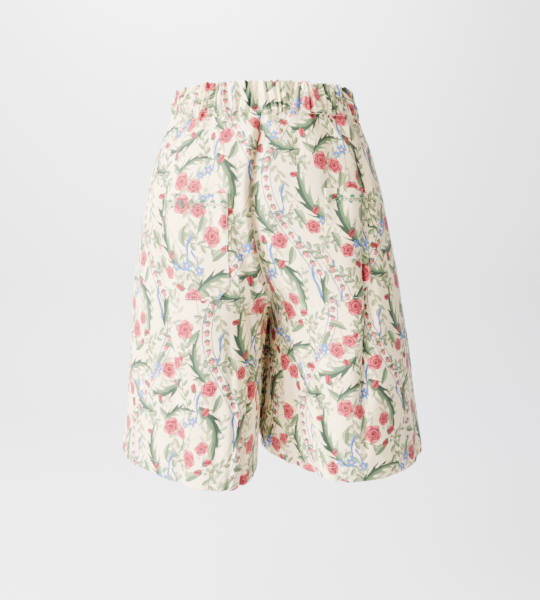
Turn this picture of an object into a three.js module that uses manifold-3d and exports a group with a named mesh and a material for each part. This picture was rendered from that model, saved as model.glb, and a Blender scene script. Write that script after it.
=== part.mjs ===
import * as THREE from "three";
import Module from "manifold-3d";

// Knee-length culottes with a gathered elastic waist and two patch pockets, hanging as worn, hollow.
// Millimetres, +Z up. The front faces -Y, so the wearer's left is +X.
// The origin is the centre of the waist, halfway up the casing, where the wearer's waist holds them.

const wasm = await Module();
wasm.setup();

// Driving dimensions
const clothWall = 1.6;
const seamGap = 0.3;
const crotchZ = -300;
const hemZ = -538;
const hem = { depth: 20, extra: 0.5, fallLeft: 3.5, fallRight: 4.5 };
const casing = { top: 21, bottom: -21, wall: 2.4, gathers: 70, depth: 2.6, bulge: 2.2, crest: 1.2, tilt: 0.01 };
const pocket = { topLeft: -123, topRight: -130, bottom: -274, wall: 1.4, bandDepth: 14, bandExtra: 0.5, corner: 20 };

// Where the two halves meet, measured from the middle of the waist
const midline = [
  { z: 21, x: 0 },
  { z: -105, x: -2 },
  { z: -205, x: 2 },
  { z: -300, x: 10 },
  { z: -370, x: 4 },
  { z: -440, x: -1 },
  { z: -538, x: -7 },
];

// How far the front seam swings off the midline as the cloth falls, over a stretch this wide
const frontSway = [
  { z: 21, x: 0 },
  { z: -30, x: 0 },
  { z: -80, x: -8 },
  { z: -130, x: -14 },
  { z: -190, x: -11 },
  { z: -260, x: -3 },
  { z: -300, x: 0 },
  { z: -538, x: 0 },
];
const swayReach = 45;

// Half the space between the legs below the crotch
const legsApart = [
  { z: -300, x: 0.3 },
  { z: -316, x: 4 },
  { z: -345, x: 5.2 },
  { z: -430, x: 3.6 },
  { z: -538, x: 2.6 },
];

// One row for each level of a leg: outer is the reach of the side seam from x = 0, front and back are
// the reaches of the cloth from y = 0, split tells how far the halves have parted (0 is one ring, 1 is
// two rings that touch), lean is how far the front swings inwards, and frontOuter and frontInner push
// the two front corners out or in.
const sections = {
  left: [
    { z: 21, outer: 131, front: 99, back: 97, split: 0, lean: 0, frontOuter: 0, frontInner: 0 },
    { z: -21, outer: 144, front: 108, back: 105, split: 0, lean: 0, frontOuter: 1, frontInner: 0 },
    { z: -60, outer: 162, front: 119, back: 117, split: 0.05, lean: 0, frontOuter: 3, frontInner: 0 },
    { z: -105, outer: 177, front: 128, back: 129, split: 0.13, lean: 0, frontOuter: 4, frontInner: 0 },
    { z: -155, outer: 191, front: 134, back: 137, split: 0.25, lean: 0, frontOuter: 5, frontInner: 0 },
    { z: -205, outer: 202, front: 137, back: 139, split: 0.41, lean: 0, frontOuter: 4, frontInner: 0 },
    { z: -255, outer: 213, front: 137, back: 137, split: 0.67, lean: 0, frontOuter: 3, frontInner: -2 },
    { z: -300, outer: 221, front: 136, back: 133, split: 1, lean: 0, frontOuter: 2, frontInner: -6 },
    { z: -370, outer: 236, front: 136, back: 127, split: 1, lean: 1, frontOuter: 0, frontInner: -13 },
    { z: -430, outer: 245, front: 137, back: 122, split: 1, lean: 2, frontOuter: -2, frontInner: -18 },
    { z: -490, outer: 256, front: 139, back: 118, split: 1, lean: 2, frontOuter: -4, frontInner: -21 },
    { z: -538, outer: 264, front: 140, back: 116, split: 1, lean: 1, frontOuter: -4, frontInner: -22 },
  ],
  right: [
    { z: 21, outer: 129, front: 99, back: 97, split: 0, lean: 0, frontOuter: 0, frontInner: 0 },
    { z: -21, outer: 138, front: 108, back: 105, split: 0, lean: 0, frontOuter: 1, frontInner: 0 },
    { z: -60, outer: 156, front: 119, back: 117, split: 0.05, lean: 0, frontOuter: 3, frontInner: 0 },
    { z: -105, outer: 171, front: 129, back: 129, split: 0.13, lean: 0, frontOuter: 4, frontInner: 0 },
    { z: -155, outer: 184, front: 136, back: 137, split: 0.25, lean: 2, frontOuter: 5, frontInner: 1 },
    { z: -205, outer: 193, front: 141, back: 139, split: 0.41, lean: 5, frontOuter: 4, frontInner: 3 },
    { z: -255, outer: 202, front: 145, back: 137, split: 0.67, lean: 10, frontOuter: 1, frontInner: 4 },
    { z: -300, outer: 208, front: 148, back: 132, split: 1, lean: 16, frontOuter: -2, frontInner: 5 },
    { z: -370, outer: 215, front: 153, back: 124, split: 1, lean: 28, frontOuter: -6, frontInner: 5 },
    { z: -430, outer: 221, front: 158, back: 119, split: 1, lean: 39, frontOuter: -9, frontInner: 4 },
    { z: -490, outer: 227, front: 163, back: 115, split: 1, lean: 48, frontOuter: -11, frontInner: 3 },
    { z: -538, outer: 235, front: 166, back: 113, split: 1, lean: 54, frontOuter: -12, frontInner: 3 },
  ],
};

// The pocket's two upright edges as shares of the half width, and the panel's columns between them
const pocketEdges = [
  { z: 21, outer: 0.77, inner: 0.18, outerLeft: 0.79, innerLeft: 0.47 },
  { z: -127, outer: 0.77, inner: 0.2, outerLeft: 0.79, innerLeft: 0.47 },
  { z: -200, outer: 0.74, inner: 0.22, outerLeft: 0.75, innerLeft: 0.42 },
  { z: -274, outer: 0.71, inner: 0.24, outerLeft: 0.71, innerLeft: 0.38 },
  { z: -538, outer: 0.68, inner: 0.28, outerLeft: 0.64, innerLeft: 0.34 },
];
const frontColumns = { outside: 10, pocket: 9, inside: 11 };
const backColumns = 22;
const pocketTop = (side) => (side === "left" ? pocket.topLeft : pocket.topRight);
const bandFoot = (side) => pocketTop(side) - pocket.bandDepth;
const rowLevels = (side) => [
  -21.3, -34, -50, -72, -98, pocketTop(side), bandFoot(side), bandFoot(side) - 1, -170, -198, -226,
  -252, -274, -287, -294, -300, -306, -320, -345, -380, -420, -460, -495, -517, -518, -538,
];

// The largest folds. Each runs down a path of levels and angles round the leg: 0 is the side seam, 90
// the front and 180 the inseam, and less than 0 is the back. A depth under 0 is a valley.
const folds = {
  left: [
    { path: [{ z: -21, at: 50 }, { z: -110, at: 60 }, { z: -180, at: 66 }], depth: -5, width: 13 },
    {
      path: [{ z: -45, at: 31 }, { z: -120, at: 39 }, { z: -200, at: 52 }, { z: -300, at: 70 }, { z: -345, at: 76 }, { z: -450, at: 79 }],
      depth: -11,
      width: 11,
    },
    { path: [{ z: -120, at: 52 }, { z: -300, at: 84 }, { z: -500, at: 93 }], depth: 3, width: 16 },
    { path: [{ z: -290, at: 158 }, { z: -380, at: 122 }, { z: -538, at: 98 }], depth: 6, width: 20 },
    { path: [{ z: -320, at: 20 }, { z: -538, at: 24 }], depth: -4, width: 18 },
    { path: [{ z: -60, at: -62 }, { z: -330, at: -74 }], depth: -4, width: 16 },
    { path: [{ z: -250, at: -150 }, { z: -400, at: -118 }, { z: -538, at: -98 }], depth: 5, width: 20 },
    { path: [{ z: -300, at: -40 }, { z: -538, at: -36 }], depth: -5, width: 18 },
  ],
  right: [
    { path: [{ z: -21, at: 38 }, { z: -90, at: 44 }, { z: -150, at: 48 }], depth: -4, width: 12 },
    { path: [{ z: -90, at: 37 }, { z: -200, at: 52 }, { z: -300, at: 63 }, { z: -538, at: 66 }], depth: -8, width: 11 },
    { path: [{ z: -60, at: 78 }, { z: -180, at: 88 }, { z: -285, at: 120 }], depth: 5, width: 14 },
    { path: [{ z: -320, at: 122 }, { z: -538, at: 104 }], depth: 4, width: 18 },
    { path: [{ z: -300, at: 22 }, { z: -538, at: 30 }], depth: 3, width: 18 },
    { path: [{ z: -60, at: -58 }, { z: -330, at: -72 }], depth: -4, width: 16 },
    { path: [{ z: -250, at: -150 }, { z: -400, at: -120 }, { z: -538, at: -102 }], depth: 5, width: 20 },
    { path: [{ z: -300, at: -38 }, { z: -538, at: -34 }], depth: -5, width: 18 },
  ],
};
const foldFade = 45;

// Soft gathers that leave the casing and die out down the cloth
const softGathers = { depth: 2.4, pitch: 33, fall: 42 };

const clothMaterial = new THREE.MeshStandardMaterial({ color: 0xf1e9da, roughness: 0.82, metalness: 0 });
const pocketMaterial = new THREE.MeshStandardMaterial({ color: 0xf4ecde, roughness: 0.82, metalness: 0 });
const casingMaterial = new THREE.MeshStandardMaterial({ color: 0xeee5d3, roughness: 0.84, metalness: 0 });

const smooth = (t) => t * t * (3 - 2 * t);
const clamp01 = (t) => Math.min(1, Math.max(0, t));
const radians = THREE.MathUtils.degToRad;

// The value of one column at level z, on a smooth curve through the table's rows, which run downwards
function level(rows, column, z) {
  if (z >= rows[0].z) return rows[0][column];
  const last = rows.length - 1;
  if (z <= rows[last].z) return rows[last][column];
  let i = 0;
  while (rows[i + 1].z > z) i++;
  const slope = (k) => {
    const a = rows[Math.max(0, k - 1)];
    const b = rows[Math.min(last, k + 1)];
    return (b[column] - a[column]) / (b.z - a.z);
  };
  const span = rows[i + 1].z - rows[i].z;
  const t = (z - rows[i].z) / span;
  const rise = rows[i + 1][column] - rows[i][column];
  const bend = (1 - t) * (slope(i) * span - rise) - t * (slope(i + 1) * span - rise);
  return rows[i][column] + rise * t + t * (1 - t) * bend;
}

// The place of a path at level z, between its levels in straight lines
function along(path, z) {
  let i = 0;
  while (i < path.length - 2 && path[i + 1].z > z) i++;
  const t = clamp01((z - path[i].z) / (path[i + 1].z - path[i].z));
  return path[i].at + (path[i + 1].at - path[i].at) * t;
}

// One leg's ring at a level: its centre's distance from the midline, its half width and its reaches
function ringAt(side, z) {
  const rows = sections[side];
  const sign = side === "left" ? 1 : -1;
  const middle = level(midline, "x", z);
  const reach = level(rows, "outer", z) - sign * middle;
  const split = level(rows, "split", z);
  const apart = level(legsApart, "x", z);
  const half = z > crotchZ ? reach / (1 + split) : (reach - apart) / 2;
  return {
    sign,
    middle,
    reach,
    half,
    centre: z > crotchZ ? reach - half : half + apart,
    front: level(rows, "front", z),
    back: level(rows, "back", z),
    lean: level(rows, "lean", z),
    frontOuter: level(rows, "frontOuter", z),
    frontInner: level(rows, "frontInner", z),
    sway: level(frontSway, "x", z),
  };
}

// How far the folds and gathers move the cloth out at an angle round the leg
function foldDepth(side, ring, z, angle) {
  let sum = 0;
  for (const fold of folds[side]) {
    const first = fold.path[0].z;
    const last = fold.path[fold.path.length - 1].z;
    const fadeIn = first > -30 ? 1 : smooth(clamp01((first - z) / foldFade));
    const fadeOut = last === hemZ ? 1 : smooth(clamp01((z - last) / foldFade));
    const off = ((angle - radians(along(fold.path, z))) * ring.front) / fold.width;
    sum += fold.depth * Math.exp(-off * off) * fadeIn * fadeOut;
  }
  const drop = (casing.bottom - z) / softGathers.fall;
  const turn = (2 * Math.PI * angle * ring.front) / softGathers.pitch;
  sum += softGathers.depth * Math.cos(turn + 0.8 * Math.sin(turn / 2.6)) * Math.exp(-drop);
  const nearInseam = smooth(clamp01((Math.PI - Math.abs(angle)) / radians(35)));
  return sum * (z > -200 ? 1 : nearInseam);
}

// Distance from the midline, and depth in y, of the cloth at an angle
function ringPoint(side, ring, z, angle) {
  const sin = Math.sin(angle);
  const cos = Math.cos(angle);
  const corner = Math.sin(2 * angle) ** 2;
  let out = foldDepth(side, ring, z, angle);
  if (angle > 0) out += corner * (cos > 0 ? ring.frontOuter : ring.frontInner);
  const lean = angle > 0 ? ring.lean * sin * sin : 0;
  const depth = angle > 0 ? ring.front : ring.back;
  return { off: ring.centre + (ring.half + out) * cos - lean, y: -(depth + out) * sin };
}

// The angle at which a ring comes to a distance from the midline, going round the front or the back
function angleWhere(side, ring, z, distance, direction) {
  let low = 0;
  let high = Math.PI;
  for (let i = 0; i < 40; i++) {
    const mid = (low + high) / 2;
    if (ringPoint(side, ring, z, direction * mid).off > distance) low = mid;
    else high = mid;
  }
  return low;
}

function clothPoint(side, ring, z, angle) {
  const point = ringPoint(side, ring, z, angle);
  const front = smooth(clamp01(-point.y / 60));
  const swing = ring.sway * Math.exp(-((point.off / swayReach) ** 2)) * front;
  const down = smooth(clamp01((crotchZ - z) / (crotchZ - hemZ)));
  const fall = down * front * (ring.sign > 0 ? hem.fallLeft : hem.fallRight);
  return new THREE.Vector3(ring.middle + swing + ring.sign * point.off, point.y, z - fall);
}

// A panel's column angles at one level, from the side seam to the centre seam or the inseam
function columnAngles(side, direction, ring, z) {
  const gap = seamGap / 2;
  const start = gap / ring.front;
  const inseam = Math.PI - gap / ring.front;
  const end = z > crotchZ ? Math.min(inseam, angleWhere(side, ring, z, gap, direction)) : inseam;
  if (direction < 0) {
    return Array.from({ length: backColumns + 1 }, (_, j) => start + ((end - start) * j) / backColumns);
  }
  const name = side === "left" ? "Left" : "";
  const edge = (column) => ring.reach * level(pocketEdges, column + name, z);
  const outerEdge = angleWhere(side, ring, z, edge("outer"), 1);
  const innerEdge = angleWhere(side, ring, z, edge("inner"), 1);
  const stops = [
    [start, outerEdge, frontColumns.outside],
    [outerEdge, innerEdge, frontColumns.pocket],
    [innerEdge, end, frontColumns.inside],
  ];
  const angles = [start];
  for (const [from, to, count] of stops) {
    for (let j = 1; j <= count; j++) angles.push(from + ((to - from) * j) / count);
  }
  return angles;
}

// The panel's points, a row for each level, each moved out square to the cloth by offsetAt(z)
function panelGrid(side, direction, levels, offsetAt) {
  return levels.map((z) => {
    const ring = ringAt(side, z);
    const above = ringAt(side, z + 1);
    const below = ringAt(side, z - 1);
    return columnAngles(side, direction, ring, z).map((step, j, steps) => {
      const angle = direction * step;
      const round = clothPoint(side, ring, z, angle + 0.004).sub(clothPoint(side, ring, z, angle - 0.004));
      const down = clothPoint(side, below, z - 1, angle).sub(clothPoint(side, above, z + 1, angle));
      const normal = round.cross(down).normalize();
      if (ring.sign < 0) normal.negate();
      const point = clothPoint(side, ring, z, angle);
      const seamX = point.x;
      point.addScaledVector(normal, offsetAt(z));
      // The wall stays on its own side of the centre seam
      const crossing = z > crotchZ && j === steps.length - 1 && ring.sign * (point.x - seamX) < 0;
      return crossing ? point.setX(seamX) : point;
    });
  });
}

// A closed wall between an outer and an inner grid of points of the same size
function wallGeometry(outer, inner, loops = false) {
  const rows = outer.length;
  const columns = outer[0].length;
  const points = [...outer.flat(), ...inner.flat()];
  const out = (i, j) => i * columns + (j % columns);
  const inn = (i, j) => rows * columns + out(i, j);
  const index = [];
  const quad = (a, b, c, d) => index.push(a, b, c, a, c, d);
  const steps = loops ? columns : columns - 1;
  for (let j = 0; j < steps; j++) {
    for (let i = 0; i < rows - 1; i++) {
      quad(out(i, j), out(i + 1, j), out(i + 1, j + 1), out(i, j + 1));
      quad(inn(i, j), inn(i, j + 1), inn(i + 1, j + 1), inn(i + 1, j));
    }
    quad(out(0, j), out(0, j + 1), inn(0, j + 1), inn(0, j));
    quad(out(rows - 1, j), inn(rows - 1, j), inn(rows - 1, j + 1), out(rows - 1, j + 1));
  }
  for (let i = 0; i < rows - 1 && !loops; i++) {
    quad(out(i, 0), inn(i, 0), inn(i + 1, 0), out(i + 1, 0));
    quad(out(i, columns - 1), out(i + 1, columns - 1), inn(i + 1, columns - 1), inn(i, columns - 1));
  }
  let volume = 0;
  for (let k = 0; k < index.length; k += 3) {
    const [a, b, c] = [points[index[k]], points[index[k + 1]], points[index[k + 2]]];
    volume += a.dot(new THREE.Vector3().crossVectors(b, c));
  }
  if (volume < 0) index.reverse();
  const geometry = new THREE.BufferGeometry().setFromPoints(points);
  geometry.setIndex(index);
  return geometry;
}

function namedMesh(name, geometry, material) {
  geometry.computeVertexNormals();
  const mesh = new THREE.Mesh(geometry, material);
  mesh.name = name;
  return mesh;
}

const hemExtra = (z) => (z <= hemZ + hem.depth ? hem.extra : 0);

function panel(name, side, direction) {
  const outer = panelGrid(side, direction, rowLevels(side), hemExtra);
  const inner = panelGrid(side, direction, rowLevels(side), () => -clothWall);
  return namedMesh(name, wallGeometry(outer, inner), clothMaterial);
}

// manifold-3d only cuts here
function solidFrom(geometry) {
  const vertProperties = new Float32Array(geometry.getAttribute("position").array);
  const triVerts = new Uint32Array(geometry.getIndex().array);
  return new wasm.Manifold(new wasm.Mesh({ numProp: 3, vertProperties, triVerts }));
}

function geometryFrom(solid) {
  const mesh = solid.getMesh();
  const geometry = new THREE.BufferGeometry();
  geometry.setAttribute("position", new THREE.BufferAttribute(new Float32Array(mesh.vertProperties), 3));
  geometry.setIndex(new THREE.BufferAttribute(new Uint32Array(mesh.triVerts), 1));
  return geometry;
}

// A three-cornered prism along y that takes off one bottom corner of a pocket
function cornerCutter(corner, towards) {
  const shape = [
    [corner.x - towards * 40, corner.z + pocket.corner + 40],
    [corner.x - towards * 40, corner.z - 40],
    [corner.x + towards * (pocket.corner + 40), corner.z - 40],
  ];
  const ring = (y) => shape.map(([x, z]) => new THREE.Vector3(x, y, z));
  const points = [...ring(-250), ...ring(50)];
  const index = [0, 1, 2, 3, 5, 4, 0, 3, 4, 0, 4, 1, 1, 4, 5, 1, 5, 2, 2, 5, 3, 2, 3, 0];
  const geometry = new THREE.BufferGeometry().setFromPoints(points);
  geometry.setIndex(towards > 0 ? index : index.reverse());
  return solidFrom(geometry);
}

// A patch on the front panel, made from the panel's own points moved out
function patchPocket(name, side) {
  const levels = rowLevels(side).filter((z) => z <= pocketTop(side) && z >= pocket.bottom);
  const first = frontColumns.outside;
  const last = first + frontColumns.pocket;
  const cut = (grid) => grid.map((row) => row.slice(first, last + 1));
  const lift = (z) => seamGap + pocket.wall + (z >= bandFoot(side) ? pocket.bandExtra : 0);
  const outer = cut(panelGrid(side, 1, levels, lift));
  const inner = cut(panelGrid(side, 1, levels, () => seamGap));
  const foot = outer[outer.length - 1];
  const corners = [foot[0], foot[foot.length - 1]];
  let solid = solidFrom(wallGeometry(outer, inner));
  corners.forEach((corner, k) => {
    const towards = Math.sign(corners[1 - k].x - corner.x);
    solid = solid.subtract(cornerCutter(corner, towards));
  });
  return namedMesh(name, geometryFrom(solid), pocketMaterial);
}

// The gathered ring at the waist: four columns to a gather, from valley to ridge and back
function waistCasing() {
  const profile = [-1, 0.25, 1, 0.25];
  const height = casing.top - casing.bottom;
  const levels = [casing.top, casing.top - 7, casing.bottom + 12, casing.bottom];
  const columns = casing.gathers * profile.length;
  const grid = (inset) =>
    levels.map((z) => {
      const up = (z - casing.bottom) / height;
      const swell = casing.bulge * Math.sin(Math.PI * clamp01(up * 1.15));
      return Array.from({ length: columns }, (_, j) => {
        const turn = (2 * Math.PI * j) / columns;
        const angle = turn + 0.014 * Math.sin(9 * turn) + 0.008 * Math.sin(23 * turn + 1);
        const gather = Math.floor(j / profile.length);
        const height01 = 0.72 + 0.28 * Math.sin(2.4 * gather + 0.9 * Math.sin(0.7 * gather));
        const gathered = height01 * profile[j % profile.length];
        const out = casing.depth * gathered + swell - inset;
        const side = Math.cos(angle) > 0 ? "left" : "right";
        const rows = sections[side];
        const depth = level(rows, Math.sin(angle) < 0 ? "front" : "back", z);
        const reach = level(rows, "outer", z);
        const x = (reach + out) * Math.cos(angle);
        const lift = z === casing.top ? casing.crest * gathered + casing.tilt * x : 0;
        return new THREE.Vector3(x, (depth + out) * Math.sin(angle), z + lift);
      });
    });
  return namedMesh("waist_casing", wallGeometry(grid(0), grid(casing.wall), true), casingMaterial);
}

const culottes = new THREE.Group();
culottes.name = "culottes";
culottes.add(
  panel("front_left", "left", 1),
  panel("front_right", "right", 1),
  panel("back_left", "left", -1),
  panel("back_right", "right", -1),
  patchPocket("pocket_left", "left"),
  patchPocket("pocket_right", "right"),
  waistCasing(),
);

export default culottes;
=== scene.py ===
import math

import bpy
import numpy as np
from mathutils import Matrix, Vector


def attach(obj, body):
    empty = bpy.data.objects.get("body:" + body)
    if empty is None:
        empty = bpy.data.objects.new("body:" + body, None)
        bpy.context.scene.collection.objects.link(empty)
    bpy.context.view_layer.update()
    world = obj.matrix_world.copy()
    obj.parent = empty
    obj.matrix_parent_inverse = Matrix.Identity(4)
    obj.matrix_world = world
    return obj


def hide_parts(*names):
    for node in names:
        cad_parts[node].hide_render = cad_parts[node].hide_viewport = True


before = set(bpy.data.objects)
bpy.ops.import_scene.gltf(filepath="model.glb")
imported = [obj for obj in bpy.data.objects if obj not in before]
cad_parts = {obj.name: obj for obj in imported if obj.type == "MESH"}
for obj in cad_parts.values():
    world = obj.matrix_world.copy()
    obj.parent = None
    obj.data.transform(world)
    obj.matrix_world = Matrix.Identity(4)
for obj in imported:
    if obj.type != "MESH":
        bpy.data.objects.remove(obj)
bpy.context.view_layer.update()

# The form of the cloth, in millimetres: the sections and folds of the solids, worked out on a finer grid.
# The front faces -Y, +X is the wearer's left, and z is 0 halfway up the waist casing.
form = {
    "crotchZ": -300,
    "hemZ": -538,
    "hemFall": {"left": 3.5, "right": 4.5},
    "midline": {"z": [21, -105, -205, -300, -370, -440, -538], "x": [0, -2, 2, 10, 4, -1, -7]},
    "sway": {"z": [21, -30, -80, -130, -190, -260, -300, -538], "x": [0, 0, -8, -14, -11, -3, 0, 0]},
    "swayReach": 45,
    "apart": {"z": [-300, -316, -345, -430, -538], "x": [0.3, 4, 5.2, 3.6, 2.6]},
}

# One column of numbers for each level: reaches from the axes, how far the halves have parted, and the corners
levels = [21, -21, -60, -105, -155, -205, -255, -300, -370, -430, -490, -538]
legs = {
    "left": {
        "outer": [131, 144, 162, 177, 191, 202, 213, 221, 236, 245, 256, 264],
        "front": [99, 108, 119, 128, 134, 137, 137, 136, 136, 137, 139, 140],
        "back": [97, 105, 117, 129, 137, 139, 137, 133, 127, 122, 118, 116],
        "split": [0, 0, 0.05, 0.13, 0.25, 0.41, 0.67, 1, 1, 1, 1, 1],
        "lean": [0, 0, 0, 0, 0, 0, 0, 0, 1, 2, 2, 1],
        "frontOuter": [0, 1, 3, 4, 5, 4, 3, 2, 0, -2, -4, -4],
        "frontInner": [0, 0, 0, 0, 0, 0, -2, -6, -13, -18, -21, -22],
    },
    "right": {
        "outer": [129, 138, 156, 171, 184, 193, 202, 208, 215, 221, 227, 235],
        "front": [99, 108, 119, 129, 136, 141, 145, 148, 153, 158, 163, 166],
        "back": [97, 105, 117, 129, 137, 139, 137, 132, 124, 119, 115, 113],
        "split": [0, 0, 0.05, 0.13, 0.25, 0.41, 0.67, 1, 1, 1, 1, 1],
        "lean": [0, 0, 0, 0, 2, 5, 10, 16, 28, 39, 48, 54],
        "frontOuter": [0, 1, 3, 4, 5, 4, 1, -2, -6, -9, -11, -12],
        "frontInner": [0, 0, 0, 0, 1, 3, 4, 5, 5, 4, 3, 3],
    },
}

# Folds run down a path of levels and degrees round the leg: 0 at the side seam, 90 in front, 180 at the
# inseam, and under 0 behind
folds = {
    "left": [
        {"z": [-21, -110, -180], "at": [50, 60, 66], "depth": -5, "width": 13},
        {"z": [-45, -120, -200, -300, -345, -450], "at": [31, 39, 52, 70, 76, 79], "depth": -11, "width": 11},
        {"z": [-120, -300, -500], "at": [52, 84, 93], "depth": 3, "width": 16},
        {"z": [-290, -380, -538], "at": [158, 122, 98], "depth": 6, "width": 20},
        {"z": [-320, -538], "at": [20, 24], "depth": -4, "width": 18},
        {"z": [-60, -330], "at": [-62, -74], "depth": -4, "width": 16},
        {"z": [-250, -400, -538], "at": [-150, -118, -98], "depth": 5, "width": 20},
        {"z": [-300, -538], "at": [-40, -36], "depth": -5, "width": 18},
    ],
    "right": [
        {"z": [-21, -90, -150], "at": [38, 44, 48], "depth": -4, "width": 12},
        {"z": [-90, -200, -300, -538], "at": [37, 52, 63, 66], "depth": -8, "width": 11},
        {"z": [-60, -180, -285], "at": [78, 88, 120], "depth": 5, "width": 14},
        {"z": [-320, -538], "at": [122, 104], "depth": 4, "width": 18},
        {"z": [-300, -538], "at": [22, 30], "depth": 3, "width": 18},
        {"z": [-60, -330], "at": [-58, -72], "depth": -4, "width": 16},
        {"z": [-250, -400, -538], "at": [-150, -120, -102], "depth": 5, "width": 20},
        {"z": [-300, -538], "at": [-38, -34], "depth": -5, "width": 18},
    ],
}
foldFade = 45
softGathers = {"depth": 2.4, "pitch": 33, "fall": 42}
# Levels at which the casing ends above the panels, and under which folds fade out towards the inseam
casingFoot = -21
inseamCalm = {"under": -200, "degrees": 35}


def smoothStep(t):
    t = np.clip(t, 0, 1)
    return t * t * (3 - 2 * t)


def bell(distance, width):
    return np.exp(-((distance / width) ** 2))


def signOf(side):
    return 1 if side == "left" else -1


def alongLevels(zs, values, z):
    # A smooth curve through values at falling levels zs
    zs = np.asarray(zs, float)
    values = np.asarray(values, float)
    z = np.clip(z, zs[-1], zs[0])
    last = len(zs) - 1
    i = np.clip(np.searchsorted(-zs, -z, side="right") - 1, 0, last - 1)
    before = np.maximum(np.arange(last + 1) - 1, 0)
    after = np.minimum(np.arange(last + 1) + 1, last)
    slope = (values[after] - values[before]) / (zs[after] - zs[before])
    span = zs[i + 1] - zs[i]
    t = (z - zs[i]) / span
    rise = values[i + 1] - values[i]
    bend = (1 - t) * (slope[i] * span - rise) - t * (slope[i + 1] * span - rise)
    return values[i] + rise * t + t * (1 - t) * bend


def ringAt(side, z):
    rows = legs[side]
    ring = {name: alongLevels(levels, rows[name], z) for name in rows}
    ring["sign"] = signOf(side)
    ring["middle"] = alongLevels(form["midline"]["z"], form["midline"]["x"], z)
    ring["sway"] = alongLevels(form["sway"]["z"], form["sway"]["x"], z)
    ring["reach"] = ring["outer"] - ring["sign"] * ring["middle"]
    apart = alongLevels(form["apart"]["z"], form["apart"]["x"], z)
    above = z > form["crotchZ"]
    ring["half"] = np.where(above, ring["reach"] / (1 + ring["split"]), (ring["reach"] - apart) / 2)
    ring["centre"] = np.where(above, ring["reach"] - ring["half"], ring["half"] + apart)
    return ring


def foldDepth(side, ring, z, angle):
    # A fold fades in and out, but not where it starts at the casing or ends at the hem
    total = 0
    for fold in folds[side]:
        first = fold["z"][0]
        last = fold["z"][-1]
        fadeIn = 1 if first > -30 else smoothStep((first - z) / foldFade)
        fadeOut = 1 if last == form["hemZ"] else smoothStep((z - last) / foldFade)
        at = np.radians(np.interp(-z, [-level for level in fold["z"]], fold["at"]))
        off = (angle - at) * ring["front"]
        total = total + fold["depth"] * bell(off, fold["width"]) * fadeIn * fadeOut
    drop = (casingFoot - z) / softGathers["fall"]
    turn = 2 * math.pi * angle * ring["front"] / softGathers["pitch"]
    total = total + softGathers["depth"] * np.cos(turn + 0.8 * np.sin(turn / 2.6)) * np.exp(-drop)
    nearInseam = smoothStep((math.pi - np.abs(angle)) / math.radians(inseamCalm["degrees"]))
    return total * np.where(z > inseamCalm["under"], 1, nearInseam)


def ringPoint(side, ring, z, angle):
    sin = np.sin(angle)
    cos = np.cos(angle)
    isFront = angle > 0
    corner = np.sin(2 * angle) ** 2 * np.where(cos > 0, ring["frontOuter"], ring["frontInner"])
    out = foldDepth(side, ring, z, angle) + np.where(isFront, corner, 0)
    lean = np.where(isFront, ring["lean"] * sin * sin, 0)
    depth = np.where(isFront, ring["front"], ring["back"])
    return ring["centre"] + (ring["half"] + out) * cos - lean, -(depth + out) * sin


def clothPoint(side, z, angle):
    ring = ringAt(side, z)
    off, y = ringPoint(side, ring, z, angle)
    front = smoothStep(-y / 60)
    swing = ring["sway"] * bell(off, form["swayReach"]) * front
    down = smoothStep((form["crotchZ"] - z) / (form["crotchZ"] - form["hemZ"]))
    fall = down * front * form["hemFall"][side]
    return np.stack([ring["middle"] + swing + ring["sign"] * off, y, z - fall], -1)


def angleWhere(side, z, distance, direction):
    # The angle at which a leg's ring comes to a distance from the midline
    ring = ringAt(side, z)
    low = np.zeros_like(z)
    high = np.full_like(z, math.pi)
    for _ in range(32):
        mid = (low + high) / 2
        further = ringPoint(side, ring, z, direction * mid)[0] > distance
        low = np.where(further, mid, low)
        high = np.where(further, high, mid)
    return low


def gridNormals(points, outward):
    around = np.gradient(points, axis=1)
    down = np.gradient(points, axis=0)
    normal = np.cross(around, down) * outward
    return normal / np.maximum(np.linalg.norm(normal, axis=-1, keepdims=True), 1e-9)


def arcLength(points, axis):
    step = np.linalg.norm(np.diff(points, axis=axis), axis=-1)
    start = np.zeros_like(np.take(step, [0], axis=axis))
    return np.concatenate([start, np.cumsum(step, axis=axis)], axis=axis)


print("form ready")

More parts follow.
